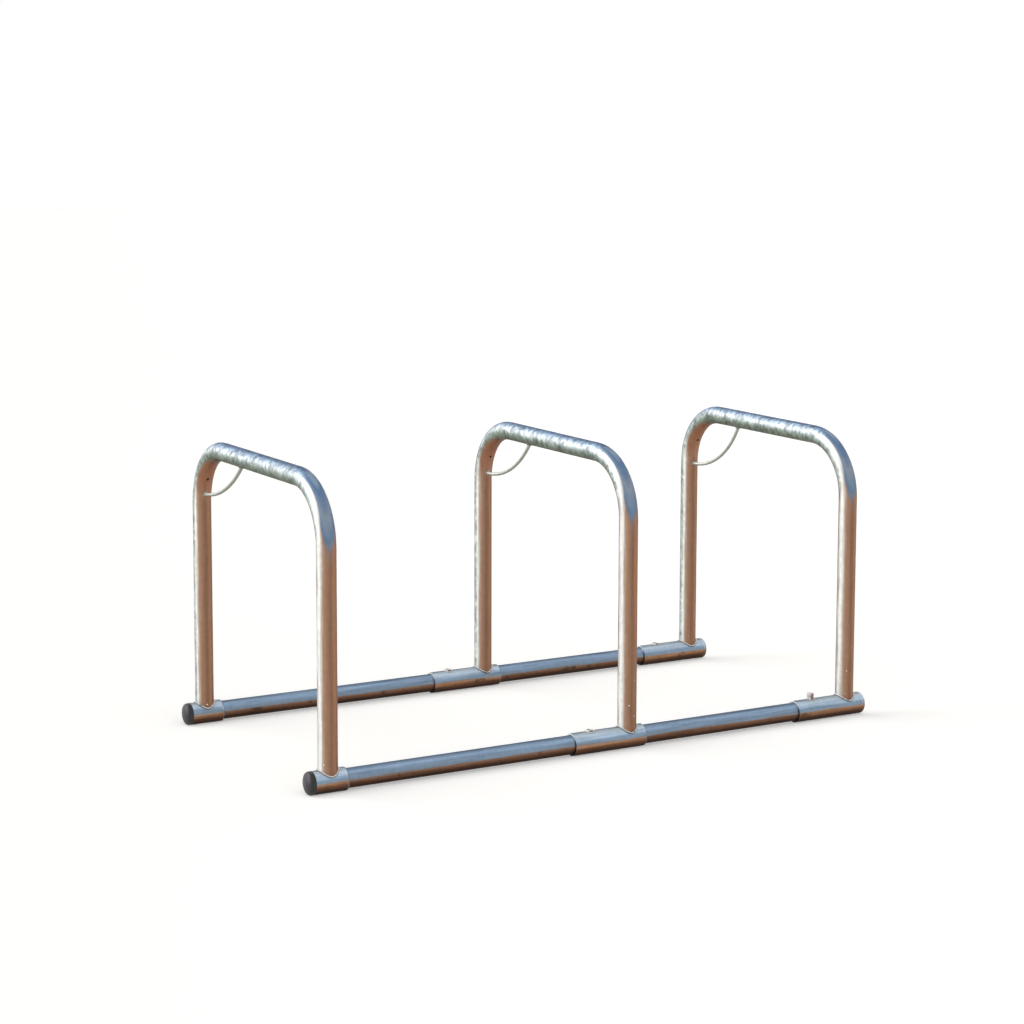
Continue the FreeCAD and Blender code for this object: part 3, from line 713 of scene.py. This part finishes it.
def glinting_rail_weld_zinc():
    """Galvanised weld metal near the ground: the rail's painted reflection tones, with a few
    painted glints.
    """
    material, tree = new_finish("galvanised_rail_weld")
    where = add(tree, "ShaderNodeTexCoord")
    place = where.outputs["Object"]
    bright = add(tree, "ShaderNodeTexNoise", {"Vector": place, "Scale": 1 / GLINT_SIZE,
                                              "Detail": 2.0}).outputs["Fac"]
    grain = add(tree, "ShaderNodeTexNoise", {"Vector": place, "Scale": 1 / WELD_GRAIN_SIZE,
                                             "Detail": 2.0}).outputs["Fac"]
    up = add(tree, "ShaderNodeSeparateXYZ", {"Vector": where.outputs["Normal"]}).outputs["Z"]
    tone = facing_colours(tree, up, RAIL_PAINTED_REFLECTIONS)
    spots = add(tree, "ShaderNodeMix", {0: between(tree, bright, *GLINT_EDGE), 6: tone,
                                        7: linear(GLINT_COLOUR)}, data_type="RGBA")
    zinc_surface(tree, spots.outputs[2], RING_CONTRAST, grain, bright, grain, WELD_METALLIC)
    return material


def ring_seam(x, y, radius, ripples=72):
    """A circle round a rail."""
    return [(x, y + radius * math.cos(2 * math.pi * i / ripples),
             RAIL_HEIGHT + radius * math.sin(2 * math.pi * i / ripples)) for i in range(ripples)]


ring_finish = glinting_rail_weld_zinc()
for bay, (hoop, x) in enumerate(zip(HOOPS, HOOP_X[:2]), start=1):
    mouth = x + SLEEVE_SHORT_SIDE + RING_BEAD_AHEAD
    rings = [ring_seam(mouth, y, TUBE_RADIUS + RING_BEAD_OUT) for y in (-HALF_WIDTH, HALF_WIDTH)]
    lay_bead("bay_%d_ring_beads" % bay, rings, RING_BEAD_RADIUS, ring_finish, hoop + "_module",
             "bay_%d_rail_welds" % bay, bay + RING_BEAD_SEED)


# ---------------------------------------------------------------------------------------------
# End caps of the last hoop: pressed steel caps, butt-welded to the sleeves, ground flush and
# galvanised with them.
# ---------------------------------------------------------------------------------------------

for name in nodes:
    if name.endswith("_end_cap"):
        dress(sleeve_finish, name)
    if name.endswith("_cap_welds"):
        dress(weld_finish, name)


# ---------------------------------------------------------------------------------------------
# End plugs of the first hoop: black polyethylene, injection moulded and domed, with a fine matt
# grain, a soft sheen, and a painted highlight on the dome that darkens to painted shade at the rim.
# ---------------------------------------------------------------------------------------------

# Painted highlight and shade by facing: palest on the dome, darkest towards the rim.
PLUG_PAINTED_SHADING = ((-1.0, "#0B0A0C"), (0.0, "#0E0D10"), (0.6, "#131217"), (0.88, "#1D1C23"),
                (0.97, "#2A2932"), (1.0, "#34333D"))
UPWARD_SHARE = 0.35          # the painted highlight is palest a little above the dome's middle
DUST_COLOUR = "#2C2A31"
DUST_SIZE = 0.012
DUST_EDGE = (0.5, 0.9)
MOULD_GRAIN_SIZE = 0.0010    # drawn coarser than it is
MOULD_RELIEF = 0.3
PLUG_ROUGHNESS = (0.30, 0.50)
POLYETHYLENE_IOR = 1.5


def moulded_polyethylene():
    """Black moulded plastic with a fine matt grain and patches of dust, and a painted highlight on
    the dome that darkens to painted shade at the rim.
    """
    material, tree = new_finish("black_polyethylene_plug")
    where = add(tree, "ShaderNodeTexCoord")
    place = where.outputs["Object"]
    dust = add(tree, "ShaderNodeTexNoise", {"Vector": place, "Scale": 1 / DUST_SIZE,
                                            "Detail": 5.0}).outputs["Fac"]
    grain = add(tree, "ShaderNodeTexNoise", {"Vector": place, "Scale": 1 / MOULD_GRAIN_SIZE,
                                             "Detail": 2.0}).outputs["Fac"]
    facing = add(tree, "ShaderNodeSeparateXYZ", {"Vector": where.outputs["Normal"]})
    outward = add(tree, "ShaderNodeMath", {0: facing.outputs["X"], 1: -1.0}, operation="MULTIPLY")
    lifted_face = add(tree, "ShaderNodeMath", {0: facing.outputs["Z"], 1: UPWARD_SHARE,
                                               2: outward.outputs[0]}, operation="MULTIPLY_ADD")
    tone = facing_colours(tree, lifted_face.outputs[0], PLUG_PAINTED_SHADING)
    dusty = add(tree, "ShaderNodeMix", {0: between(tree, dust, *DUST_EDGE), 6: tone,
                                        7: linear(DUST_COLOUR)}, data_type="RGBA")
    relief = add(tree, "ShaderNodeBump", {"Height": grain, "Strength": MOULD_RELIEF,
                                          "Distance": RELIEF_DEPTH})
    roughness = add(tree, "ShaderNodeMapRange", {"Value": dust, "To Min": PLUG_ROUGHNESS[0],
                                                 "To Max": PLUG_ROUGHNESS[1]})
    skin = add(tree, "ShaderNodeBsdfPrincipled", {"Base Color": dusty.outputs[2],
                                                  "IOR": POLYETHYLENE_IOR,
                                                  "Roughness": roughness.outputs[0],
                                                  "Normal": relief.outputs[0]})
    add(tree, "ShaderNodeOutputMaterial", {"Surface": skin.outputs[0]})
    return material


plug_finish = moulded_polyethylene()
dress(plug_finish, "hoop_1_front_end_plug", "hoop_1_back_end_plug")


# ---------------------------------------------------------------------------------------------
# Clamps: a hexagon nut welded on top of each long socket and a screw through it that presses
# on the tube inside.  Zinc-plated fastener steel, with painted light: brighter on top, darker and
# browner low down as painted shade.
# ---------------------------------------------------------------------------------------------

NUT_BEAD_RADIUS = 0.0022
NUT_BEAD_RING = 0.0121
SOCKET_SIDE = 0.175
CLAMP_FROM_MOUTH = 0.057
NUT_BEAD_SEED = 31

# Painted light by facing: brighter on top, painted shade, darker and browner, on the lower faces.
FASTENER_PAINTED_LIGHT = ((-1.0, "#4A382C"), (-0.2, "#7A5E4C"), (0.15, "#98857A"), (0.7, "#C9C9C6"),
                    (1.0, "#D8D8D5"))
FASTENER_HIGHLIGHT_COLOUR = "#EDEDEA"
FASTENER_HIGHLIGHT_TURN = (0.3, 0.8)  # faces that turn this far towards -X carry the painted highlight
PLATING_GRAIN_SIZE = 0.003     # drawn coarser than it is
PLATING_SHADE = (0.85, 1.12)   # what the grain does to the colour
FASTENER_ROUGHNESS = (0.28, 0.5)
FASTENER_METALLIC = 0.8


def plated_steel():
    """Electroplated fastener steel: fine satin, uneven, with painted shade on its lower faces and a
    painted highlight on those towards -X.
    """
    material, tree = new_finish("zinc_plated_fastener")
    where = add(tree, "ShaderNodeTexCoord")
    place = where.outputs["Object"]
    grain = add(tree, "ShaderNodeTexNoise", {"Vector": place, "Scale": 1 / PLATING_GRAIN_SIZE,
                                             "Detail": 4.0}).outputs["Fac"]
    facing = add(tree, "ShaderNodeSeparateXYZ", {"Vector": where.outputs["Normal"]})
    tone = facing_colours(tree, facing.outputs["Z"], FASTENER_PAINTED_LIGHT)
    left = add(tree, "ShaderNodeMath", {0: facing.outputs["X"], 1: -1.0}, operation="MULTIPLY")
    lit = add(tree, "ShaderNodeMix", {0: between(tree, left.outputs[0], *FASTENER_HIGHLIGHT_TURN), 6: tone,
                                      7: linear(FASTENER_HIGHLIGHT_COLOUR)}, data_type="RGBA")
    shade = add(tree, "ShaderNodeMapRange", {"Value": grain, "To Min": PLATING_SHADE[0],
                                             "To Max": PLATING_SHADE[1]})
    colour = add(tree, "ShaderNodeVectorMath", {0: lit.outputs[2], "Scale": shade.outputs[0]},
                 operation="SCALE")
    roughness = add(tree, "ShaderNodeMapRange", {"Value": grain, "To Min": FASTENER_ROUGHNESS[0],
                                                 "To Max": FASTENER_ROUGHNESS[1]})
    skin = add(tree, "ShaderNodeBsdfPrincipled", {"Base Color": colour.outputs[0],
                                                  "Metallic": FASTENER_METALLIC,
                                                  "Roughness": roughness.outputs[0]})
    add(tree, "ShaderNodeOutputMaterial", {"Surface": skin.outputs[0]})
    return material


def nut_seam(x, y, ripples=36):
    """The line round a nut's foot on the sleeve."""
    seam = []
    for i in range(ripples):
        angle = 2 * math.pi * i / ripples
        across = NUT_BEAD_RING * math.sin(angle)
        seam.append((x + NUT_BEAD_RING * math.cos(angle), y + across,
                     RAIL_HEIGHT + math.sqrt(SLEEVE_RADIUS ** 2 - across ** 2)))
    return seam


fastener_finish = plated_steel()
seed = NUT_BEAD_SEED
for hoop, x in zip(HOOPS[1:], HOOP_X[1:]):
    for side, y in (("front", -HALF_WIDTH), ("back", HALF_WIDTH)):
        clamp = "%s_%s_clamp" % (hoop, side)
        dress(fastener_finish, clamp + "_nut", clamp + "_screw")
        seam = nut_seam(x - SOCKET_SIDE + CLAMP_FROM_MOUTH, y)
        lay_bead(clamp + "_nut_bead", [seam], NUT_BEAD_RADIUS, weld_finish, hoop + "_module",
                 clamp + "_nut_weld", seed)
        seed += 1


# ---------------------------------------------------------------------------------------------
# Camera: standing to the front left of the rack, looking slightly down along it.
# ---------------------------------------------------------------------------------------------

CAMERA_PLACE = (-3.3806, -5.8536, 1.73675)
CAMERA_HEADING = 1.0528      # radians from +X towards +Y
CAMERA_TILT = -0.1272        # radians, downwards
CAMERA_ROLL = 0.0024
FOCAL_PIXELS = 2471.2
PICTURE_PIXELS = 1024
AXIS_ROW = 410               # picture row that the lens axis meets
SENSOR_WIDTH = 36.0
FARTHEST_SEEN = 100.0        # metres

ahead = Vector((math.cos(CAMERA_HEADING) * math.cos(CAMERA_TILT),
                math.sin(CAMERA_HEADING) * math.cos(CAMERA_TILT), math.sin(CAMERA_TILT)))
level_right = Vector((math.sin(CAMERA_HEADING), -math.cos(CAMERA_HEADING), 0))
level_up = level_right.cross(ahead)
right = level_right * math.cos(CAMERA_ROLL) + level_up * math.sin(CAMERA_ROLL)
up = level_up * math.cos(CAMERA_ROLL) - level_right * math.sin(CAMERA_ROLL)

lens = bpy.data.cameras.new("front_left_camera")
lens.sensor_width = SENSOR_WIDTH
lens.lens = SENSOR_WIDTH * FOCAL_PIXELS / PICTURE_PIXELS
lens.shift_y = (AXIS_ROW - PICTURE_PIXELS / 2) / PICTURE_PIXELS
lens.clip_end = FARTHEST_SEEN
camera = bpy.data.objects.new("front_left_camera", lens)
turn = Matrix((right, up, -ahead)).transposed().to_4x4()
camera.matrix_world = Matrix.Translation(CAMERA_PLACE) @ turn
bpy.context.scene.collection.objects.link(camera)
bpy.context.scene.camera = camera

bpy.context.scene.view_settings.view_transform = "Standard"
